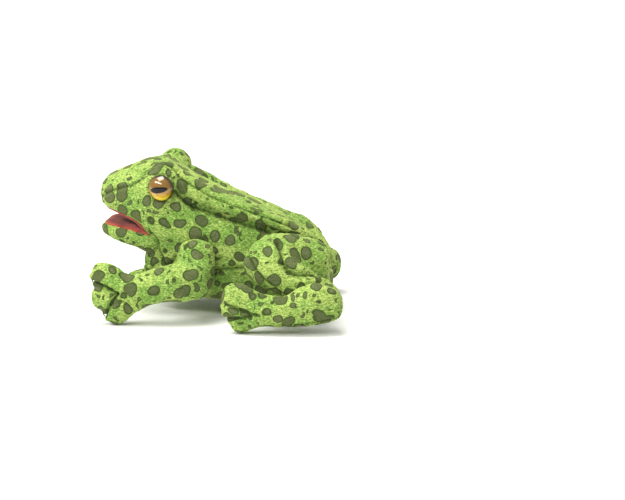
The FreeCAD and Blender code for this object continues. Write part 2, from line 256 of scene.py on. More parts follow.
def eye_material(seat, out):
    """Amber safety eye: amber in the middle, with painted light: darker brown at the top and bright
    yellow at the lower rim, for light refracted through the dome.
    """
    shader = Shader("eye_amber_dome")
    place = shader.rest_place()
    centre = shader.node("ShaderNodeVectorMath", {0: place, 1: seat * MM}, operation="SUBTRACT")
    along = shader.node("ShaderNodeVectorMath", {0: centre.outputs[0], 1: out},
                        operation="DOT_PRODUCT").outputs["Value"]
    span = shader.node("ShaderNodeVectorMath", {0: centre.outputs[0]}, operation="LENGTH")
    flat = shader.math("SQRT", shader.math("MAXIMUM", 0.0, shader.math(
        "SUBTRACT", shader.math("POWER", span.outputs["Value"], 2.0),
        shader.math("POWER", along, 2.0))))
    height = shader.node("ShaderNodeSeparateXYZ", {"Vector": centre.outputs[0]}).outputs["Z"]
    rays = shader.noise(place, 900.0, 2.0)
    lift = shader.math("MULTIPLY_ADD", rays, 0.0012, height)
    # painted light: bright yellow low on the dome, brown towards its top
    colour = shader.mix(shader.ramp(lift, -0.0052, -0.0010), rgb(226, 196, 40), rgb(164, 118, 18))
    colour = shader.mix(shader.ramp(lift, -0.0022, 0.0018), colour, rgb(116, 82, 20))
    colour = shader.mix(shader.ramp(flat, 0.0053, 0.0061), colour, rgb(48, 38, 12))
    shader.set(Base_Color=colour, Roughness=0.3, Specular_IOR_Level=0.1, Coat_Weight=1.0,
               Coat_IOR=1.7, Coat_Roughness=0.02,
               Normal=shader.bump(rays, 0.05, 0.0002))
    return shader.material


def gloss_black_material():
    """Black pupil under the clear dome."""
    shader = Shader("pupil_black")
    grain = shader.noise(shader.rest_place(), 2000.0)
    shader.set(Base_Color=shader.mix(grain, rgb(6, 6, 6), rgb(16, 15, 12)), Roughness=0.3,
               Specular_IOR_Level=0.1, Coat_Weight=0.35, Coat_Roughness=0.03)
    return shader.material


def fitting_material():
    """Moulded black plastic with a faint grain."""
    shader = Shader("fitting_plastic")
    grain = shader.noise(shader.object_place(), 1600.0, 2.0)
    shader.set(Base_Color=shader.mix(grain, rgb(24, 24, 24), rgb(44, 43, 41)), Roughness=0.55,
               Normal=shader.bump(grain, 0.3, 0.0001))
    return shader.material


def floor_material():
    """Plain pale studio floor."""
    shader = Shader("studio_floor")
    grain = shader.noise(shader.object_place(), 30.0)
    shader.set(Base_Color=shader.mix(grain, (0.91, 0.91, 0.91, 1), (0.93, 0.93, 0.93, 1)),
               Roughness=0.9, Specular_IOR_Level=0.1)
    return shader.material


PLUSH = plush_material()
RED = lining_material("mouth_felt", rgb(176, 78, 64), rgb(124, 46, 36))
SLEEVE = lining_material("sleeve_cloth", rgb(58, 84, 34), rgb(36, 56, 22))
THREAD = thread_material()
BLACK = gloss_black_material()
FITTING = fitting_material()


# --- mesh building -----------------------------------------------------------------------------
RING_STEPS = 28                      # points round a limb
BODY_RING_STEPS = 40
CAP_TURNS = (1.35, 1.05, 0.7, 0.35)  # angles of a rounded end's rings, from its tip
PUFF_PRESSURE = 4.0
PUFF_FRAMES = 20
SEAM_STEP = 0.6                      # spacing of the places along a seam, in millimetres
SEAM_SHADE_WIDTH = 0.75                     # width of the painted shade along a seam, as a share of its groove
PILE_WAVES = ((0.16, 2.6), (0.55, 1.2), (1.5, 0.9))  # waves in a millimetre, and how high
PILE_HEIGHT = 0.16
THREAD_RADIUS = 0.17
THREAD_STEP = 0.2                    # spacing of the rings along a stitch
STITCH = 1.6
STITCH_GAP = 0.5


def ring_across(centre, along, wide, high, steps=RING_STEPS):
    """A closed oval round centre, across the direction along. Sizes in millimetres."""
    along = Vector(along).normalized()
    side = Vector((1.0, 0.0, 0.0)) if abs(along.x) < 0.75 else Vector((0.0, 1.0, 0.0))
    up = along.cross(side).normalized()
    side = up.cross(along).normalized()
    points = []
    for step in range(steps):
        angle = 2.0 * math.pi * step / steps
        points.append(Vector(centre) + side * (wide * math.cos(angle))
                      + up * (high * math.sin(angle)))
    return points


def power(value, exponent):
    """The value's size raised to the exponent, with the value's sign."""
    return math.copysign(abs(value) ** exponent, value)


def body_ring(y, low, high, half, square_top=2.2, square_low=3.0, middle=0.52):
    """A cross-section of the torso, head or jaw at y. It is squarer as the square values grow."""
    centre = low + middle * (high - low)
    points = []
    for step in range(BODY_RING_STEPS):
        angle = 2.0 * math.pi * step / BODY_RING_STEPS
        top = math.sin(angle) >= 0
        exponent = 2.0 / (square_top if top else square_low)
        reach = high - centre if top else centre - low
        points.append(Vector((half * power(math.cos(angle), exponent), y,
                              centre + reach * power(math.sin(angle), exponent))))
    return points


def smooth_between(stations, gaps=5):
    """Stations with more between them, on a smooth curve through all their values."""
    rows = np.array(stations, float)
    padded = np.vstack([2 * rows[0] - rows[1], rows, 2 * rows[-1] - rows[-2]])
    result = []
    for index in range(1, len(padded) - 2):
        a, b, c, d = padded[index - 1:index + 3]
        for step in range(gaps):
            t = step / gaps
            result.append(0.5 * (2 * b + (c - a) * t + (2 * a - 5 * b + 4 * c - d) * t ** 2
                                 + (3 * b - a - 3 * c + d) * t ** 3))
    result.append(rows[-1])
    return result


def new_loop(made, ring):
    """Adds a ring's points to the bmesh."""
    return [made.verts.new(point * MM) for point in ring]


def bridge(made, one, two):
    """Joins two loops of the bmesh with a band of faces."""
    for index in range(len(one)):
        after = (index + 1) % len(one)
        made.faces.new((one[index], one[after], two[after], two[index]))


def loft(made, rings):
    """Adds a closed surface through the rings to the bmesh, with a fan of faces at each end."""
    loops = [new_loop(made, ring) for ring in rings]
    for one, two in zip(loops, loops[1:]):
        bridge(made, one, two)
    for loop, flip in ((loops[0], True), (loops[-1], False)):
        tip = made.verts.new(sum((vert.co for vert in loop), Vector()) / len(loop))
        for index in range(len(loop)):
            after = (index + 1) % len(loop)
            corners = (loop[after], loop[index], tip) if flip else (loop[index], loop[after], tip)
            made.faces.new(corners)


def tube_rings(stations):
    """Rings along stations of (x, y, z, wide, high), with a rounded end past each end."""
    rows = smooth_between(stations)
    places = [Vector(row[:3]) for row in rows]
    rings = []
    last = len(rows) - 1
    first_way = (places[0] - places[1]).normalized()
    last_way = (places[-1] - places[-2]).normalized()
    caps = [(math.sin(turn), math.cos(turn)) for turn in CAP_TURNS]
    for reach, part in caps:
        size = min(rows[0][3], rows[0][4])
        rings.append(ring_across(places[0] + first_way * (reach * size), -first_way,
                                 rows[0][3] * part, rows[0][4] * part))
    for index, row in enumerate(rows):
        way = places[min(index + 1, last)] - places[max(index - 1, 0)]
        rings.append(ring_across(places[index], way, row[3], row[4]))
    for reach, part in reversed(caps):
        size = min(rows[-1][3], rows[-1][4])
        rings.append(ring_across(places[-1] + last_way * (reach * size), last_way,
                                 rows[-1][3] * part, rows[-1][4] * part))
    return rings


def add_ball(made, centre, radii):
    """Adds an ellipsoid to the bmesh."""
    x, y, z = centre
    rings = []
    for step in range(1, 16):
        angle = math.pi * step / 16
        rings.append(ring_across((x, y - radii[1] * math.cos(angle), z), (0, 1, 0),
                                 radii[0] * math.sin(angle), radii[2] * math.sin(angle)))
    loft(made, rings)


def new_object(name, made):
    """A Blender object from the bmesh."""
    bmesh.ops.recalc_face_normals(made, faces=made.faces)
    mesh = bpy.data.meshes.new(name)
    made.to_mesh(mesh)
    made.free()
    piece = bpy.data.objects.new(name, mesh)
    bpy.context.scene.collection.objects.link(piece)
    return piece


def apply_modifiers(piece):
    """Keeps the modifiers' result as the piece's mesh."""
    bpy.context.view_layer.update()
    seen = piece.evaluated_get(bpy.context.evaluated_depsgraph_get())
    mesh = bpy.data.meshes.new_from_object(seen)
    piece.modifiers.clear()
    piece.data = mesh


def remesh(piece, voxel):
    """Joins a piece's overlapping solids into one even surface."""
    modifier = piece.modifiers.new("remesh", "REMESH")
    modifier.mode = "VOXEL"
    modifier.voxel_size = voxel * MM
    apply_modifiers(piece)


def subdivide(piece):
    """One level of smooth subdivision."""
    modifier = piece.modifiers.new("subdivide", "SUBSURF")
    modifier.levels = 1
    modifier.render_levels = 1
    apply_modifiers(piece)


def get_points(piece):
    """The mesh's points in millimetres, as an array."""
    points = np.empty(len(piece.data.vertices) * 3)
    piece.data.vertices.foreach_get("co", points)
    return points.reshape(-1, 3) / MM


def set_points(piece, points):
    """Moves the mesh's points to places in millimetres."""
    piece.data.vertices.foreach_set("co", (points * MM).ravel())
    piece.data.update()


def get_normals(piece):
    """The mesh's point normals, as an array."""
    normals = np.empty(len(piece.data.vertices) * 3)
    piece.data.vertex_normals.foreach_get("vector", normals)
    return normals.reshape(-1, 3)


def relax(piece, rounds):
    """Evens out a mesh by moving each point halfway to the middle of its neighbours."""
    edges = np.empty(len(piece.data.edges) * 2, int)
    piece.data.edges.foreach_get("vertices", edges)
    one, two = edges.reshape(-1, 2).T
    points = get_points(piece)
    count = np.bincount(np.concatenate([one, two]), minlength=len(points))[:, None]
    for _ in range(rounds):
        total = np.zeros_like(points)
        for axis in range(3):
            total[:, axis] = (np.bincount(one, points[two, axis], len(points))
                              + np.bincount(two, points[one, axis], len(points)))
        points = 0.5 * (points + total / np.maximum(count, 1))
    set_points(piece, points)


def cut_away(piece, made):
    """Cuts a closed shape out of a piece."""
    cutter = new_object("cutter", made)
    modifier = piece.modifiers.new("cut", "BOOLEAN")
    modifier.operation = "DIFFERENCE"
    modifier.solver = "EXACT"
    modifier.object = cutter
    apply_modifiers(piece)
    bpy.data.objects.remove(cutter)


def keep_above_table(piece):
    """Flattens whatever hangs below z = 0."""
    points = get_points(piece)
    points[:, 2] = np.maximum(points[:, 2], 0.0)
    set_points(piece, points)


def puff(piece, cap):
    """Fills the piece by cloth simulation. No point moves further than cap."""
    before = get_points(piece)
    cloth = piece.modifiers.new("cloth", "CLOTH")
    settings = cloth.settings
    settings.quality = 4
    settings.mass = 0.2
    settings.tension_stiffness = 12.0
    settings.compression_stiffness = 12.0
    settings.shear_stiffness = 5.0
    settings.bending_stiffness = 0.4
    settings.use_pressure = True
    settings.uniform_pressure_force = PUFF_PRESSURE
    settings.effector_weights.gravity = 0.0
    cloth.collision_settings.use_collision = False
    scene = bpy.context.scene
    for number in range(1, PUFF_FRAMES + 1):
        scene.frame_set(number)
    apply_modifiers(piece)
    scene.frame_set(1)
    moved = get_points(piece) - before
    far = np.linalg.norm(moved, axis=1, keepdims=True)
    set_points(piece, before + moved * np.minimum(1.0, cap / np.maximum(far, 1e-9)))


def curve_points(points, gap):
    """Evenly spaced places on a smooth curve through the points, in millimetres."""
    rows = np.array(smooth_between(points, 12))
    steps = np.concatenate([[0.0], np.cumsum(np.linalg.norm(np.diff(rows, axis=0), axis=1))])
    wanted = np.arange(0.0, steps[-1], gap)
    return np.stack([np.interp(wanted, steps, rows[:, axis]) for axis in range(3)], axis=1)


def surface_of(piece):
    """A search tree over a piece's surface."""
    made = bmesh.new()
    made.from_mesh(piece.data)
    tree = BVHTree.FromBMesh(made)
    made.free()
    return tree


def on_surface(tree, points, gap=SEAM_STEP):
    """A smooth curve through the points laid on the surface: places and normals."""
    places = []
    normals = []
    for point in curve_points(points, gap):
        place, normal, _, _ = tree.find_nearest(Vector(point) * MM)
        places.append(place / MM)
        normals.append(normal)
    places = np.array(places)
    normals = np.array(normals)
    for _ in range(3):
        places[1:-1] = (places[:-2] + 2 * places[1:-1] + places[2:]) / 4
        normals[1:-1] = (normals[:-2] + 2 * normals[1:-1] + normals[2:]) / 4
    return places, normals / np.linalg.norm(normals, axis=1, keepdims=True)


def press_seams(piece, seams):
    """Draws seams in, as narrow puckered grooves, and stores painted shade along the grooves in the
    seam attribute.

    Each seam is a line, a width and a depth.
    """
    points = get_points(piece)
    normals = get_normals(piece)
    push = np.zeros(len(points))
    dark = np.zeros(len(points))
    for line, width, depth in seams:
        reach = 4.5 * width
        low, high = line.min(axis=0) - reach, line.max(axis=0) + reach
        near = np.where(np.all((points > low) & (points < high), axis=1))[0]
        if not len(near):
            continue
        nearest = np.full(len(near), 1e9)
        which = np.zeros(len(near), int)
        for index in range(len(line)):
            away = np.linalg.norm(points[near] - line[index], axis=1)
            closer = away < nearest
            nearest[closer] = away[closer]
            which[closer] = index
        phase = which * SEAM_STEP
        pucker = 1.0 + 0.28 * np.sin(phase * 1.9 + np.sin(phase * 0.43) * 2.0)
        groove = depth * pucker * np.exp(-(nearest / width) ** 2)
        shoulder = 0.32 * depth * np.exp(-((nearest - 2.3 * width) / (1.1 * width)) ** 2)
        push[near] += groove - shoulder
        # painted shade along the groove, darkest at its bottom
        dark[near] = np.maximum(dark[near], np.exp(-(nearest / (SEAM_SHADE_WIDTH * width)) ** 2))
    set_points(piece, points - normals * push[:, None])
    shade = piece.data.attributes.new("seam", "FLOAT", "POINT")
    shade.data.foreach_set("value", dark)


def fuzz(piece):
    """Small uneven lumps of the pile and the filling under it."""
    points = get_points(piece)
    lift = np.array([sum(high * noise.noise(Vector(point) * rate) for rate, high in PILE_WAVES)
                     for point in points])
    set_points(piece, points + get_normals(piece) * (lift * PILE_HEIGHT)[:, None])


def finish_piece(piece, material):
    """Material, slot and rest places of a piece whose mesh is final."""
    piece.data.materials.clear()
    piece.data.materials.append(material)
    piece.data.polygons.foreach_set("use_smooth", [True] * len(piece.data.polygons))
    rest = piece.data.attributes.new("rest_place", "FLOAT_VECTOR", "POINT")
    rest.data.foreach_set("vector", (get_points(piece) * MM).ravel())
    return piece


def sew(name, piece, lines, body_name):
    """Rows of short rounded stitches along a piece's seams. They follow one body."""
    tree = surface_of(piece)
    span = round(STITCH / THREAD_STEP) + 1
    made = bmesh.new()
    for points in lines:
        line, normals = on_surface(tree, points, THREAD_STEP)
        for start in range(0, len(line) - span, span + round(STITCH_GAP / THREAD_STEP)):
            rings = []
            for index in range(start, start + span):
                arch = math.sin(math.pi * (index - start) / (span - 1))
                centre = Vector(line[index] + normals[index] * THREAD_RADIUS * (0.8 * arch - 0.4))
                size = THREAD_RADIUS * (0.55 + 0.45 * arch)
                way = line[index + 1] - line[index]
                rings.append(ring_across(centre, way, size, size, 8))
            loft(made, rings)
    thread = finish_piece(new_object(name, made), THREAD)
    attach(thread, body_name)


# --- shapes of the frog ------------------------------------------------------------------------
JAW_Y, JAW_Z = joint_place("jaw_open")

# Cross-sections along the body: y, lowest z, highest z, half width
TORSO = [
    (-42.5, 13.0, 25.0, 8.0), (-39.5, 9.0, 36.0, 16.5), (-28.0, 7.5, 57.0, 21.2),
    (-14.0, 7.0, 61.4, 22.0), (2.0, 5.6, 57.0, 22.2), (18.0, 2.2, 51.2, 22.2),
    (31.0, 0.6, 44.4, 21.8), (40.0, 1.2, 35.4, 19.6), (46.0, 5.0, 26.0, 14.5),
    (49.6, 11.0, 18.6, 6.5),
]
HEAD = [
    (-63.6, 55.4, 62.6, 6.5), (-62.2, 53.0, 65.2, 12.0), (-59.0, 51.2, 67.4, 15.4),
    (-54.0, 49.6, 69.4, 18.4), (-45.0, 45.6, 73.4, 21.8), (-39.5, 41.2, 75.0, 23.4),
    (-35.5, 36.6, 75.4, 24.0), (-31.5, 30.0, 74.6, 24.2), (-26.0, 26.0, 71.4, 23.8),
    (-16.0, 20.0, 66.0, 23.0), (-4.0, 16.0, 59.0, 21.5),
]
LIP_END = -34.0                      # y where the flat palate ends and the rounded cheek starts
JAW = [
    (-63.2, 40.2, 43.4, 7.0), (-61.8, 38.0, 44.2, 12.8), (-54.0, 34.4, 43.8, 17.8),
    (-45.0, 31.6, 42.8, 20.6), (-38.0, 28.8, 41.6, 21.6), (-32.5, 29.0, 40.0, 20.4),
]
# The bulge that carries an eye: middle and radii of the left one and of the right one
MOUNDS = [((16.0, -29.2, 67.0), (9.0, 9.4, 9.8)), ((-15.6, -30.8, 67.8), (8.6, 8.0, 9.8))]

EYE_RADIUS = 6.4
EYE_HEIGHT = 4.4                     # from the dome's flat back to its top
EYE_PROUD = 0.7                      # how far the dome's back stands in front of the iris
SOCKET_SLACK = 0.15
SOCKET_DEPTH = 1.0
LID_HEIGHT = 0.7
LID_OFFSET = 1.3                     # from the dome's edge to the top of the fabric rim
PUPIL_HALF = (4.5, 1.55)             # half length and half height of the almond
PUPIL_TILT = 0.14                    # the rear corner of the pupil stands a little higher


def eye_seat(side):
    """Where an eye sits: the middle of its flat back, and the way that it looks."""
    out = (node_middle(f"eye_dome_{side}") - node_middle(f"eye_washer_{side}")).normalized()
    return node_middle(f"eye_iris_{side}") + out * EYE_PROUD, out


def dent_sockets(piece):
    """Pockets for the eyes, with a raised fabric rim round each."""
    points = get_points(piece)
    for side in SIDES:
        seat, out = eye_seat(side)
        away = points - np.array(seat)
        along = away @ np.array(out)
        round_axis = np.linalg.norm(away - along[:, None] * np.array(out), axis=1)
        near = (np.abs(along) < 9.0) & (round_axis < 11.0)
        pocket = np.where(round_axis < EYE_RADIUS + SOCKET_SLACK,
                          np.minimum(along, -SOCKET_DEPTH), along)
        rim = LID_HEIGHT * np.exp(-(round_axis - EYE_RADIUS - LID_OFFSET) ** 2)
        change = np.where(near, pocket - along + rim, 0.0)
        points = points + change[:, None] * np.array(out)
    set_points(piece, points)


def mirrored(points, sign):
    """Points of the left side, or their mirror image on the right."""
    return [(sign * point[0],) + point[1:] for point in points]


# Seams of the left side, as places near the surface. The right side mirrors them.
CROWN_SEAM = [(9.0, -60.5, 56.3), (13.5, -56.5, 59.6), (16.0, -52.0, 61.6), (18.5, -47.5, 63.4),
              (20.0, -44.0, 65.4), (20.5, -41.0, 67.7), (20.5, -38.0, 69.8)]
BROW_SEAM = [(17.5, -38.5, 68.5), (17.5, -37.0, 72.8), (18.0, -33.0, 73.8), (18.6, -28.5, 73.2),
             (19.2, -25.2, 71.2), (19.6, -22.7, 68.6), (19.6, -20.3, 65.4)]
JOWL_SEAM = [(22.5, -38.5, 42.2), (22.8, -34.5, 38.7), (22.8, -33.8, 34.4), (22.8, -31.6, 30.6),
             (22.4, -28.8, 25.6), (22.4, -25.2, 28.0), (22.6, -23.5, 31.0)]
SIDE_SEAM = [(10.0, -42.5, 20.0), (18.0, -38.0, 22.0), (22.0, -26.0, 23.0), (22.2, -10.0, 23.6),
             (22.2, 2.0, 25.4), (22.2, 14.0, 26.4), (21.6, 28.0, 25.0), (18.0, 42.0, 22.0),
             (9.0, 50.5, 19.0)]
# Where a ridge is sewn down to the side, in the shade under the roll, with painted shadow along its
# groove
GULLY = [(21.0, -24.5, 62.6), (21.6, -19.8, 60.4), (22.0, -13.7, 56.6), (22.2, -4.0, 53.2),
         (22.2, 6.5, 49.4), (22.0, 20.0, 45.9), (21.4, 30.0, 42.4)]
CHEST_SEAM = [(0.0, -44.0, 24.0), (0.0, -42.0, 15.0), (0.0, -36.0, 8.0)]
# The left ridge: x, y, z of the roll's middle, half width, half height
RIDGE = [
    (15.8, -27.0, 70.0, 3.9, 4.8), (17.6, -19.5, 65.8, 5.0, 5.4), (18.2, -12.0, 61.8, 5.2, 5.0),
    (18.2, -4.0, 58.0, 5.2, 4.6), (17.8, 8.0, 53.6, 5.2, 4.1), (17.0, 20.0, 49.6, 5.0, 3.7),
    (15.2, 31.0, 45.2, 4.7, 3.4), (12.6, 40.0, 39.0, 4.4, 3.3), (9.8, 46.0, 31.0, 3.6, 3.0),
]
RIDGE_SEAM = [(20.0, -26.0, 72.0), (22.0, -19.5, 68.0), (23.0, -12.0, 64.0), (23.0, -4.0, 60.0),
              (22.6, 8.0, 55.4), (21.6, 20.0, 51.2), (19.6, 31.0, 46.6)]
RIGHT_RIDGE_DROP = 4.2               # the body leans a little, so the right ridge lies lower

# The finger sleeve: its axis leaves the belly at SLEEVE_MOUTH and leans forward
SLEEVE_MOUTH = (0.0, 24.0, 0.0)
SLEEVE_UP = Vector((0.0, -math.sin(math.radians(15.0)), math.cos(math.radians(15.0))))
SLEEVE_RADIUS = 10.0
SLEEVE_LENGTH = 43.0
SLEEVE_STEPS = 56
SLEEVE_PLEAT = 0.1
HEM_STEPS = 96
HEM_SIDES = 12
HEM_HEIGHT = 1.9                     # of the middle of the roll above the table
HEM_HALF = (0.85, 1.05)              # half width and half height of the roll
BODY_VOXEL = 1.3
LIMB_VOXEL = 1.2


def sleeve_ring(radius, along, ripple=0.0):
    """A ring about the finger sleeve's axis, with soft pleats where ripple is above 0."""
    centre = Vector(SLEEVE_MOUTH) + SLEEVE_UP * along
    ring = ring_across(centre, SLEEVE_UP, radius, radius, SLEEVE_STEPS)
    for index, point in enumerate(ring):
        turn = 2.0 * math.pi * index / SLEEVE_STEPS
        pleat = ripple * (math.sin(7.0 * turn) + 0.6 * math.sin(11.0 * turn + 0.12 * along))
        ring[index] = point + (point - centre).normalized() * pleat
    return ring


def finger_sleeve():
    """The lining tube that a finger goes into, closed at its top."""
    made = bmesh.new()
    heights = [3.4, 8.0, 15.0, 24.0, 33.0]
    outside = [(SLEEVE_RADIUS + 0.9, along) for along in heights + [SLEEVE_LENGTH - 2.0]]
    outside += [(SLEEVE_RADIUS - 1.5, SLEEVE_LENGTH - 0.1), (SLEEVE_RADIUS - 5.0, SLEEVE_LENGTH)]
    inside = [(SLEEVE_RADIUS - 5.0, SLEEVE_LENGTH - 1.0), (SLEEVE_RADIUS - 1.8, SLEEVE_LENGTH - 1.3)]
    inside += [(SLEEVE_RADIUS + 0.1, along) for along in [SLEEVE_LENGTH - 3.5] + heights[::-1]]
    loops = [new_loop(made, sleeve_ring(radius, along, SLEEVE_PLEAT))
             for radius, along in outside + inside]
    upper = len(outside) - 1
    for index, loop in enumerate(loops):
        if index != upper:
            bridge(made, loop, loops[(index + 1) % len(loops)])
    made.faces.new(loops[upper])
    made.faces.new(loops[upper + 1][::-1])
    piece = new_object("finger_sleeve_tube", made)
    subdivide(piece)
    return piece


def sleeve_hem():
    """The rolled and gathered hem round the sleeve's mouth."""
    made = bmesh.new()
    middle = Vector(SLEEVE_MOUTH) + Vector((0.0, 0.0, HEM_HEIGHT))
    loops = []
    for step in range(HEM_STEPS):
        turn = 2.0 * math.pi * step / HEM_STEPS
        gather = 1.0 + 0.10 * math.sin(13.0 * turn) + 0.06 * math.sin(29.0 * turn)
        ring = []
        for side in range(HEM_SIDES):
            angle = 2.0 * math.pi * side / HEM_SIDES
            reach = SLEEVE_RADIUS + 0.95 + HEM_HALF[0] * gather * math.cos(angle)
            ring.append(middle + Vector((
                reach * math.cos(turn), reach * math.sin(turn) / SLEEVE_UP.z,
                HEM_HALF[1] * gather * math.sin(angle))))
        loops.append(new_loop(made, ring))
    for one, two in zip(loops, loops[1:] + loops[:1]):
        bridge(made, one, two)
    piece = new_object("sleeve_hem_roll", made)
    subdivide(piece)
    return piece


def body_skin():
    """The torso and head in one cover."""
    made = bmesh.new()
    loft(made, [body_ring(*row, square_top=3.8) for row in smooth_between(TORSO)])
    loft(made, [body_ring(*row, square_low=5.0 if row[0] < LIP_END else 3.0)
                for row in smooth_between(HEAD)])
    for centre, radii in MOUNDS:
        add_ball(made, centre, radii)
    piece = new_object("frog_body", made)
    remesh(piece, BODY_VOXEL)
    hole = bmesh.new()
    loft(hole, [sleeve_ring(SLEEVE_RADIUS + 1.5, along)
                for along in (-12.0, 8.0, 26.0, SLEEVE_LENGTH + 0.4)])
    cut_away(piece, hole)
    remesh(piece, BODY_VOXEL)
    relax(piece, 5)
    puff(piece, 0.9)
    relax(piece, 2)
    subdivide(piece)
    dent_sockets(piece)
    tree = surface_of(piece)
    seams = []
    for sign in SIDES.values():
        for points, width, depth in ((CROWN_SEAM, 0.75, 0.9), (BROW_SEAM, 0.8, 0.8),
                                     (JOWL_SEAM, 0.9, 1.0), (GULLY, 1.3, 2.0),
                                     (SIDE_SEAM, 0.9, 1.1)):
            seams.append((on_surface(tree, mirrored(points, sign))[0], width, depth))
    seams.append((on_surface(tree, CHEST_SEAM)[0], 0.9, 0.8))
    press_seams(piece, seams)
    fuzz(piece)
    keep_above_table(piece)
    return piece


def jaw_skin():
    """The stuffed lower jaw."""
    made = bmesh.new()
    loft(made, [body_ring(*row, square_top=4.0, square_low=2.6, middle=0.6)
                for row in smooth_between(JAW)])
    piece = new_object("lower_jaw", made)
    remesh(piece, LIMB_VOXEL)
    relax(piece, 3)
    puff(piece, 0.5)
    subdivide(piece)
    fuzz(piece)
    return piece


def between(rows, y, column):
    """A station table's value at y."""
    table = np.array(rows)
    return float(np.interp(y, table[:, 0], table[:, column]))


def mouth_lining(name, rows, facing, square, middle, proud, rear, inset):
    """A thin lining on the palate (facing -1) or on the jaw (facing 1), proud of the plush.

    square and middle are the ones of the cross-sections that it lies on. It ends at y = rear,
    and its edge stands inset inside the lip.
    """
    made = bmesh.new()
    rings = []
    front = rows[0][0] + 1.6
    for step in range(25):
        part = step / 24.0
        y = front + (rear - front) * part
        low, high, half = (between(rows, y, column) for column in (1, 2, 3))
        centre = low + middle * (high - low)
        reach = (high if facing > 0 else low) - centre
        wide = max(half - inset, 1.0) * min(1.0, 0.8 + 2.0 * part)
        outer = []
        inner = []
        for index in range(17):
            x = wide * (-1.0 + index / 8.0)
            z = centre + reach * (1.0 - abs(x / half) ** square) ** (1.0 / square)
            swell = proud * min(1.0, 0.4 + 6.0 * part)
            outer.append(Vector((x, y, z + facing * swell)))
            inner.append(Vector((x, y, z - facing * 1.2)))
        rings.append(outer + inner[::-1])
    loft(made, rings)
    pad = new_object(name, made)
    subdivide(pad)
    return pad


EYE_BALL = (EYE_RADIUS ** 2 + EYE_HEIGHT ** 2) / (2.0 * EYE_HEIGHT)  # radius of the dome's ball


def eye_dome(side):
    """A clear-coated amber dome with a turned-in rim."""
    seat, out = eye_seat(side)
    middle = seat + out * (EYE_HEIGHT - EYE_BALL)
    widest = math.asin(EYE_RADIUS / EYE_BALL)
    made = bmesh.new()
    rings = []
    for step in range(1, 21):
        angle = widest * step / 20.0
        radius = EYE_BALL * math.sin(angle)
        rings.append(ring_across(middle + out * (EYE_BALL * math.cos(angle)), out, radius, radius, 48))
    for back, radius in ((0.6, EYE_RADIUS), (1.0, EYE_RADIUS - 0.5)):
        rings.append(ring_across(seat - out * back, out, radius, radius, 48))
    loft(made, rings)
    piece = new_object(f"eye_dome_glossy_{side}", made)
    return finish_piece(piece, eye_material(seat, out))


def eye_pupil(side):
    """An almond pupil that follows the dome, a hair above it."""
    seat, out = eye_seat(side)
    middle = seat + out * (EYE_HEIGHT - EYE_BALL)
    level = SIDES[side] * Vector((0.0, 1.0, PUPIL_TILT))
    level = (level - out * level.dot(out)).normalized()
    upright = out.cross(level)
    made = bmesh.new()
    rings = []
    for share, lift in ((1.0, -0.2), (1.0, 0.0), (0.9, 0.05), (0.6, 0.06), (0.3, 0.06), (0.08, 0.06)):
        ring = []
        for step in range(40):
            angle = 2.0 * math.pi * step / 40
            u = PUPIL_HALF[0] * math.cos(angle) * share
            v = PUPIL_HALF[1] * power(math.sin(angle), 1.25) * share
            depth = math.sqrt(EYE_BALL ** 2 - u ** 2 - v ** 2)
            ring.append(middle + (level * u + upright * v + out * depth) * (1.0 + lift / EYE_BALL))
        rings.append(ring)
    loft(made, rings)
    piece = new_object(f"eye_pupil_almond_{side}", made)
    return finish_piece(piece, BLACK)


def stuffed(name, tubes, voxel=LIMB_VOXEL, cap=0.7, seams=()):
    """A stuffed cover from overlapping tubes: joined, evened out, filled and sewn."""
    made = bmesh.new()
    for stations in tubes:
        loft(made, tube_rings(stations))
    piece = new_object(name, made)
    remesh(piece, voxel)
    relax(piece, 4)
    puff(piece, cap)
    relax(piece, 1)
    subdivide(piece)
    tree = surface_of(piece)
    press_seams(piece, [(on_surface(tree, points)[0], width, depth)
                        for points, width, depth in seams])
    fuzz(piece)
    keep_above_table(piece)
    return piece


# Limbs: stations of (x, y, z, half width sideways, half height in the side view)
LEFT_ARM = [
    [(26.8, -12.6, 35.2, 5.4, 9.0), (28.6, -12.6, 28.0, 6.4, 9.6), (31.5, -12.2, 21.6, 6.8, 9.4)],
    [(34.4, -10.8, 21.8, 6.4, 9.2), (36.6, -20.0, 21.0, 7.0, 9.8), (37.6, -28.0, 19.8, 6.8, 8.9),
     (38.2, -36.0, 17.8, 6.4, 8.6), (38.6, -43.0, 15.6, 5.8, 10.2), (38.8, -49.0, 14.6, 5.2, 11.6)],
    [(38.6, -46.0, 18.6, 4.8, 6.4), (38.8, -53.0, 23.0, 4.7, 7.0), (38.8, -57.6, 24.8, 4.4, 6.2)],
    [(38.6, -46.0, 15.0, 4.8, 6.0), (38.9, -53.0, 13.6, 4.7, 6.8), (38.9, -58.0, 12.8, 4.3, 6.2)],
    [(38.6, -43.0, 12.0, 4.8, 6.2), (38.8, -48.0, 7.6, 4.7, 7.0), (38.8, -50.8, 5.6, 4.4, 6.4)],
]
RIGHT_ARM = [
    [(-26.8, -12.6, 33.4, 5.4, 9.0), (-28.6, -12.4, 26.0, 6.4, 9.4), (-31.5, -11.6, 19.0, 6.8, 9.0)],
    [(-34.4, -10.2, 16.6, 6.4, 9.0), (-36.8, -20.0, 13.8, 6.8, 8.6), (-38.0, -32.0, 9.8, 6.8, 7.4),
     (-38.4, -43.0, 6.6, 7.6, 6.0), (-38.5, -49.0, 5.4, 9.6, 5.0)],
    [(-39.5, -45.0, 5.6, 5.6, 4.8), (-44.2, -51.5, 5.0, 6.0, 4.6), (-46.4, -55.6, 4.6, 5.4, 4.2)],
    [(-38.5, -46.0, 5.6, 5.4, 4.8), (-38.5, -53.5, 5.0, 5.6, 4.6), (-38.5, -58.6, 4.6, 5.0, 4.2)],
    [(-37.5, -45.0, 5.6, 5.6, 4.8), (-32.8, -51.5, 5.0, 6.0, 4.6), (-30.6, -55.6, 4.6, 5.4, 4.2)],
]
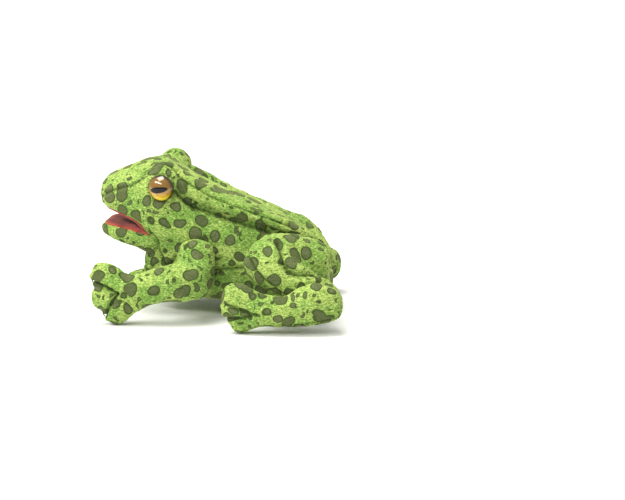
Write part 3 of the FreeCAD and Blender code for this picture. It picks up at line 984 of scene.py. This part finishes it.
LEFT_LEG = [
    [(26.2, 46.0, 29.6, 6.4, 11.4), (27.4, 34.0, 32.2, 7.4, 12.8), (28.8, 22.5, 34.4, 6.8, 10.8)],
    [(34.4, 18.6, 33.6, 6.2, 10.4), (36.2, 25.0, 30.2, 6.8, 10.8), (37.4, 33.0, 25.4, 6.8, 9.6),
     (38.6, 42.0, 20.6, 6.4, 8.8), (39.6, 52.0, 16.4, 6.0, 8.4)],
]
RIGHT_LEG = [
    [(-26.2, 34.8, 28.6, 6.4, 10.2), (-27.4, 26.0, 32.0, 7.4, 12.4), (-28.8, 16.5, 34.8, 6.8, 10.8)],
    [(-34.4, 13.0, 34.4, 6.2, 10.4), (-36.2, 19.0, 30.4, 6.8, 10.6), (-37.4, 25.5, 25.6, 6.8, 9.6),
     (-38.6, 33.0, 20.4, 6.4, 8.8), (-39.6, 41.0, 16.0, 6.0, 8.4)],
]
LEFT_FOOT = [
    [(44.4, 55.0, 14.4, 6.0, 8.6), (45.8, 48.0, 15.0, 6.6, 10.4), (46.8, 40.5, 13.0, 6.4, 9.4),
     (47.4, 33.0, 11.4, 5.8, 7.8), (47.6, 23.0, 11.6, 5.4, 8.4), (47.6, 16.0, 12.2, 5.0, 9.4)],
    [(47.6, 18.0, 15.0, 4.8, 5.8), (47.6, 11.0, 18.4, 4.7, 6.4), (47.6, 8.0, 19.4, 4.4, 5.6)],
    [(47.6, 18.0, 12.2, 4.8, 5.6), (47.7, 10.0, 12.2, 4.7, 5.8), (47.7, 6.8, 12.2, 4.4, 5.2)],
    [(47.6, 20.0, 9.0, 4.8, 5.8), (47.6, 13.5, 6.6, 4.7, 6.0), (47.6, 10.8, 5.8, 4.4, 5.4)],
]
# Seams: a line near the surface, then how wide and deep the thread draws the cloth in
ARM_SEAMS = [
    ([(36.0, -8.0, 13.4), (37.0, -18.0, 11.0), (38.0, -30.0, 10.0), (38.4, -38.0, 8.0),
      (38.6, -44.0, 2.5), (38.8, -51.0, -1.0), (38.8, -56.0, 3.0)], 0.7, 0.6),
    ([(38.0, -63.0, 21.4), (41.0, -59.5, 21.2), (43.0, -54.0, 19.6), (44.0, -47.4, 16.6)], 0.85, 1.9),
    ([(38.0, -58.0, 2.0), (41.0, -55.0, 5.0), (43.0, -51.5, 10.4), (44.0, -47.4, 16.6)], 0.85, 1.9),
    ([(38.0, -63.0, 21.4), (36.0, -59.5, 21.2), (34.2, -54.0, 19.6), (33.4, -47.4, 16.6)], 0.85, 1.6),
    ([(38.0, -58.0, 2.0), (36.0, -55.0, 5.0), (34.2, -51.5, 10.4), (33.4, -47.4, 16.6)], 0.85, 1.6),
]
RIGHT_ARM_SEAMS = [
    ([(-34.0, -5.0, 8.0), (-43.6, -18.0, 12.0), (-45.0, -33.0, 9.0), (-46.5, -45.0, 6.0)], 0.7, 0.6),
    ([(-43.6, -61.0, 4.6), (-42.6, -56.5, 8.0), (-41.6, -50.5, 9.6), (-39.5, -46.0, 10.6)], 0.85, 1.6),
    ([(-33.4, -61.0, 4.6), (-34.4, -56.5, 8.0), (-35.4, -50.5, 9.6), (-37.5, -46.0, 10.6)], 0.85, 1.6),
]
LEG_SEAMS = [
    ([(37.0, 12.0, 38.0), (41.0, 15.7, 33.2), (42.0, 18.4, 29.2), (42.5, 22.5, 25.5),
      (43.0, 26.5, 21.8), (43.0, 31.3, 18.2), (42.0, 38.0, 13.5)], 0.8, 1.0),
    ([(34.4, 28.0, 41.0), (41.0, 31.4, 35.1), (43.0, 32.7, 31.7), (43.0, 36.1, 28.6),
      (42.0, 41.6, 27.8), (40.0, 45.6, 27.6), (37.0, 50.0, 26.0)], 1.5, 2.0),
]
FOOT_SEAMS = [
    ([(46.0, 61.0, 9.0), (49.0, 53.7, 8.0), (50.5, 46.9, 6.4), (50.5, 33.3, 5.4), (50.0, 23.8, 4.6),
      (49.6, 17.0, 2.6), (49.0, 10.9, 2.2), (48.0, 6.5, 6.0)], 0.7, 0.8),
    ([(48.0, 2.6, 15.8), (51.0, 6.5, 14.6), (52.4, 11.8, 12.8), (52.8, 17.2, 11.2), (52.8, 22.6, 9.8)],
     0.85, 1.6),
    ([(48.0, 5.4, 8.0), (51.0, 8.6, 8.2), (52.4, 13.1, 8.4), (52.8, 17.9, 9.6)], 0.85, 1.5),
]


def right_foot(rows, back):
    """Stations or seam points of the left foot, mirrored and moved along y to the right one."""
    return [(-row[0], row[1] + back) + row[2:] for row in rows]


def attach_blend(piece):
    """Bakes a piece's place into its mesh; the piece gets no parent."""
    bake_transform(piece)


# --- body, head and jaw ------------------------------------------------------------------------
body = finish_piece(body_skin(), PLUSH)
jaw = finish_piece(jaw_skin(), PLUSH)
palate = mouth_lining("upper_lining", HEAD, facing=-1, square=5.0, middle=0.52, proud=0.5,
                      rear=JAW_Y - 3.0, inset=3.6)
finish_piece(palate, RED)
tongue = mouth_lining("lower_lining", JAW, facing=1, square=4.0, middle=0.6, proud=0.7,
                      rear=JAW_Y - 0.5, inset=1.8)
finish_piece(tongue, RED)
sleeve = finish_piece(finger_sleeve(), SLEEVE)
hem = finish_piece(sleeve_hem(), SLEEVE)

ridges = {}
for side, sign in SIDES.items():
    drop = RIGHT_RIDGE_DROP if side == "right" else 0.0
    rows, seam = ([(sign * row[0], row[1], row[2] - drop) + row[3:] for row in line]
                  for line in (RIDGE, RIDGE_SEAM))
    ridge = stuffed(f"ridge_{side}", [rows], voxel=1.1, cap=0.4, seams=[(seam, 0.8, 0.8)])
    ridges[side] = finish_piece(ridge, PLUSH)

foot_shift = joint_place("ankle_right")[0] - joint_place("ankle_left")[0]
RIGHT_FOOT = [right_foot(rows, foot_shift) for rows in LEFT_FOOT]
RIGHT_FOOT_SEAMS = [(right_foot(line, foot_shift), width, depth) for line, width, depth in FOOT_SEAMS]
limbs = {}
for name, tubes, seams in (("arm_left", LEFT_ARM, ARM_SEAMS), ("arm_right", RIGHT_ARM, RIGHT_ARM_SEAMS),
                           ("leg_left", LEFT_LEG, LEG_SEAMS), ("leg_right", RIGHT_LEG, ()),
                           ("foot_left", LEFT_FOOT, FOOT_SEAMS),
                           ("foot_right", RIGHT_FOOT, RIGHT_FOOT_SEAMS)):
    limbs[name] = finish_piece(stuffed(name, tubes, seams=seams), PLUSH)

# --- which body each piece follows -------------------------------------------------------------
attach_blend(body)
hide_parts("side_panel_left", "side_panel_right", "back_panel", "belly_panel",
            "torso_stuffing", "crown_panel", "cheek_panel_left", "cheek_panel_right",
            "eye_mound_left", "eye_mound_right", "head_stuffing")
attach(sleeve, "torso")
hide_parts("finger_sleeve")
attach(hem, "torso")
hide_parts("sleeve_hem")
for side, ridge in ridges.items():
    attach_blend(ridge)
    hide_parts(f"dorsal_ridge_{side}", f"ridge_filling_{side}")
attach_blend(jaw)
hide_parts("chin_panel", "jaw_stuffing")
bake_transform(tongue)
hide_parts("lower_mouth_lining")
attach(palate, "head")
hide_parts("upper_mouth_lining")
for side, sign in SIDES.items():
    dome = eye_dome(side)
    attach(dome, "head")
    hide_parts(f"eye_dome_{side}", f"eye_iris_{side}")
    pupil = eye_pupil(side)
    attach(pupil, "head")
    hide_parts(f"eye_pupil_{side}")
    arm = limbs[f"arm_{side}"]
    attach_blend(arm)
    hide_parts(f"upper_arm_cover_{side}", f"upper_arm_filling_{side}",
                f"forearm_outer_{side}", f"forearm_inner_{side}", f"forearm_filling_{side}")
    leg = limbs[f"leg_{side}"]
    attach_blend(leg)
    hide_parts(f"thigh_cover_{side}", f"thigh_filling_{side}", f"shank_cover_{side}",
                f"shank_filling_{side}")
    foot = limbs[f"foot_{side}"]
    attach(foot, f"foot_{side}")
    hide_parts(f"foot_outer_{side}", f"foot_inner_{side}", f"foot_filling_{side}")

for side in SIDES:
    for name, material in ((f"eye_stem_{side}", FITTING), (f"eye_washer_{side}", FITTING),
                           (f"shoulder_tack_{side}", THREAD), (f"hip_tack_{side}", THREAD)):
        part = bpy.data.objects[name]
        for slot in part.material_slots:
            slot.material = material

sew("crown_seam_thread", body, [mirrored(CROWN_SEAM, sign) for sign in SIDES.values()], "head")
sew("chest_seam_thread", body, [CHEST_SEAM], "torso")
for thread, limb, seams, body_name in (
        ("hand_seam_thread_left", "arm_left", ARM_SEAMS[1:], "forearm_left"),
        ("hand_seam_thread_right", "arm_right", RIGHT_ARM_SEAMS[1:], "forearm_right"),
        ("foot_seam_thread_left", "foot_left", FOOT_SEAMS, "foot_left"),
        ("foot_seam_thread_right", "foot_right", RIGHT_FOOT_SEAMS, "foot_right")):
    sew(thread, limbs[limb], [seam[0] for seam in seams], body_name)

# --- studio ------------------------------------------------------------------------------------
CAMERA_AZIMUTH = 98.0                # degrees round from the front, towards the frog's left
CAMERA_ELEVATION = 12.0
CAMERA_DISTANCE = 1.1                # metres, as all sizes in the studio
VIEW_WIDTH = 0.3088                  # width of the view at the target
LIGHT_COLOUR = (1.0, 0.985, 0.93)
SKY_STRENGTH = 0.52
TARGET = Vector((-0.0124, 0.0381, 0.0284))           # the point in the middle of the view


def studio():
    """Pale floor, soft lights and the camera."""
    scene = bpy.context.scene
    made = bmesh.new()
    bmesh.ops.create_grid(made, x_segments=8, y_segments=8, size=3.0)
    floor = new_object("floor", made)
    floor.data.materials.append(floor_material())
    world = bpy.data.worlds.new("studio")
    world.use_nodes = True
    sky = world.node_tree.nodes["Background"].inputs
    sky["Color"].default_value = (1.0, 1.0, 1.0, 1.0)
    sky["Strength"].default_value = SKY_STRENGTH
    scene.world = world
    scene.view_settings.view_transform = "Standard"
    middle = Vector((0.0, 0.0, 0.04))
    for name, place, aim, size, power_watts in (
            ("key", Vector((0.70, -0.52, 0.80)), middle, (1.3, 0.22), 11.0),
            ("top", Vector((0.12, -0.22, 1.10)), middle, (0.7, 0.7), 15.0),
            ("backdrop", Vector((-2.2, 0.2, 1.4)), Vector((-2.4, 0.3, 0.0)), (3.0, 2.0), 26.0)):
        data = bpy.data.lights.new(name, "AREA")
        data.shape = "RECTANGLE"
        data.size, data.size_y = size
        data.energy = power_watts
        data.color = LIGHT_COLOUR
        light = bpy.data.objects.new(name, data)
        light.location = place
        light.rotation_euler = (aim - place).to_track_quat("-Z", "Y").to_euler()
        scene.collection.objects.link(light)
    azimuth = math.radians(CAMERA_AZIMUTH)
    elevation = math.radians(CAMERA_ELEVATION)
    away = Vector((math.sin(azimuth) * math.cos(elevation), -math.cos(azimuth) * math.cos(elevation),
                   math.sin(elevation)))
    data = bpy.data.cameras.new("camera")
    data.lens = data.sensor_width * CAMERA_DISTANCE / VIEW_WIDTH
    data.clip_start = 0.01
    camera = bpy.data.objects.new("camera", data)
    camera.location = TARGET + away * CAMERA_DISTANCE
    camera.rotation_euler = (-away).to_track_quat("-Z", "Y").to_euler()
    scene.collection.objects.link(camera)
    scene.camera = camera


studio()
